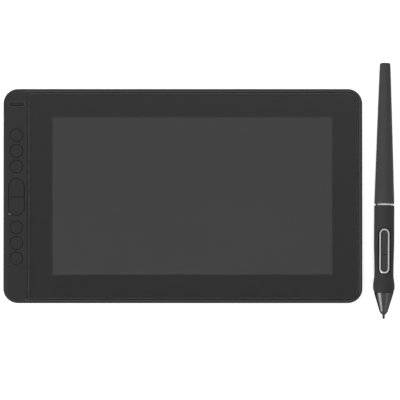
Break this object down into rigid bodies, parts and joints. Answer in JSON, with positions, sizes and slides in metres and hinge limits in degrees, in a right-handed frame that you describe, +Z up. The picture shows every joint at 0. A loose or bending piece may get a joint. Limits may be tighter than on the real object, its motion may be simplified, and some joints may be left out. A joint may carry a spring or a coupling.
{
  "type": "graphics tablet with screen and pen",
  "caption": "Pen display for drawing: slim tablet with a glass-covered screen, a column of express keys and a power key on the left, lying flat beside its cordless pen with side buttons.",
  "frame": {"origin": "on the desk plane, in the middle of the footprint of the whole set (tablet and pen); the tablet's own centre is at X -14.71 mm, Y -4.80 mm", "axes": "+X to the right along the tablet's long side, towards the pen; +Y to the far long side, away from the user; +Z up, out of the screen"},
  "size_m": [0.358, 0.2348, 0.0209],
  "materials": {
    "frame_plastic": "fine matte grain",
    "cover_plastic": "fine matte grain",
    "key_plastic": "satin",
    "foot_rubber": "matte",
    "etched_glass": "etched against glare",
    "print_black": "printed",
    "clear_adhesive": "clear",
    "panel_dark": "dark polariser",
    "white_plastic": "white moulding and film",
    "board_green": "solder mask",
    "sheet_metal": "rolled",
    "plate_metal": "plain",
    "screw_steel": "blackened",
    "port_steel": "drawn shell",
    "chip_black": "moulded",
    "connector_cream": "moulded",
    "flex_amber": "polyimide film",
    "light_pipe": "clear with a milky end",
    "barrel_plastic": "satin",
    "grip_rubber": "soft silicone",
    "bright_metal": "polished",
    "nose_metal": "dark plated",
    "button_plastic": "semi gloss",
    "nib_plastic": "hard",
    "ferrite_black": "pressed ferrite",
    "winding": "enamelled copper wire"
  },
  "bodies": {
    "tablet": {"backlight_frame": "white_plastic", "board_chips": "chip_black", "board_connectors": "connector_cream", "board_screws": "screw_steel", "border_print": "print_black", "cover_glass": "etched_glass", "diffuser_films": "white_plastic", "display_flex": "flex_amber", "front_frame": "frame_plastic", "glass_tape": "print_black", "housing_screws": "screw_steel", "indicator_light_pipe": "light_pipe", "key_board": "board_green", "key_flex": "flex_amber", "lcd_panel": "panel_dark", "led_strip": "board_green", "light_guide": "clear_adhesive", "main_board": "board_green", "optical_adhesive": "clear_adhesive", "pen_sensor_board": "board_green", "plate_screws": "screw_steel", "rear_cover": "cover_plastic", "reflector_sheet": "white_plastic", "rubber_feet": "foot_rubber", "sensor_flex": "flex_amber", "sensor_plate": "plate_metal", "sensor_shield": "sheet_metal", "shield_can": "sheet_metal", "tact_switches": "chip_black", "usb_c_ports": "port_steel"},
    "pen": {"pen_barrel": "barrel_plastic", "pen_ring": "bright_metal", "pen_core": "chip_black", "pen_grip": "grip_rubber", "pen_trim": "bright_metal", "pen_nose_cone": "nose_metal", "pen_pressure_sensor": "chip_black", "pen_ferrite": "ferrite_black", "pen_coil": "winding", "pen_board": "board_green", "pen_switches": "chip_black"},
    "key_1": {"key_1": "key_plastic"},
    "key_2": {"key_2": "key_plastic"},
    "key_3": {"key_3": "key_plastic"},
    "key_4": {"key_4": "key_plastic"},
    "key_5": {"key_5": "key_plastic"},
    "key_6": {"key_6": "key_plastic"},
    "key_7": {"key_7": "key_plastic"},
    "key_8": {"key_8": "key_plastic"},
    "power_key": {"power_key": "key_plastic"},
    "pen_button_rear": {"pen_button_rear": "button_plastic"},
    "pen_button_front": {"pen_button_front": "button_plastic"},
    "pen_nib": {"pen_nib": "nib_plastic"}
  },
  "joints": [
    {"name": "key_1_press", "type": "slide", "parent": "tablet", "child": "key_1", "axis": [0, 0, -1], "range_m": [0, 0.0004], "stiffness_N_per_m": 2500},
    {"name": "key_2_press", "type": "slide", "parent": "tablet", "child": "key_2", "axis": [0, 0, -1], "range_m": [0, 0.0004], "stiffness_N_per_m": 2500},
    {"name": "key_3_press", "type": "slide", "parent": "tablet", "child": "key_3", "axis": [0, 0, -1], "range_m": [0, 0.0004], "stiffness_N_per_m": 2500},
    {"name": "key_4_press", "type": "slide", "parent": "tablet", "child": "key_4", "axis": [0, 0, -1], "range_m": [0, 0.0004], "stiffness_N_per_m": 2500},
    {"name": "key_5_press", "type": "slide", "parent": "tablet", "child": "key_5", "axis": [0, 0, -1], "range_m": [0, 0.0004], "stiffness_N_per_m": 2500},
    {"name": "key_6_press", "type": "slide", "parent": "tablet", "child": "key_6", "axis": [0, 0, -1], "range_m": [0, 0.0004], "stiffness_N_per_m": 2500},
    {"name": "key_7_press", "type": "slide", "parent": "tablet", "child": "key_7", "axis": [0, 0, -1], "range_m": [0, 0.0004], "stiffness_N_per_m": 2500},
    {"name": "key_8_press", "type": "slide", "parent": "tablet", "child": "key_8", "axis": [0, 0, -1], "range_m": [0, 0.0004], "stiffness_N_per_m": 2500},
    {"name": "power_key_press", "type": "slide", "parent": "tablet", "child": "power_key", "axis": [0, 0, -1], "range_m": [0, 0.0003], "stiffness_N_per_m": 2500},
    {"name": "pen_lift", "type": "slide", "parent": "tablet", "child": "pen", "axis": [0, 0, 1], "range_m": [0, 0.08]},
    {"name": "pen_button_rear_press", "type": "slide", "parent": "pen", "child": "pen_button_rear", "axis": [-0.0002, -0.0244, -0.9997], "range_m": [0, 0.0004], "stiffness_N_per_m": 2500},
    {"name": "pen_button_front_press", "type": "slide", "parent": "pen", "child": "pen_button_front", "axis": [-0.0002, -0.0244, -0.9997], "range_m": [0, 0.0004], "stiffness_N_per_m": 2500},
    {"name": "pen_nib_press", "type": "slide", "parent": "pen", "child": "pen_nib", "axis": [0.0079, 0.9997, -0.0244], "range_m": [0, 0.0005], "stiffness_N_per_m": 2500}
  ]
}
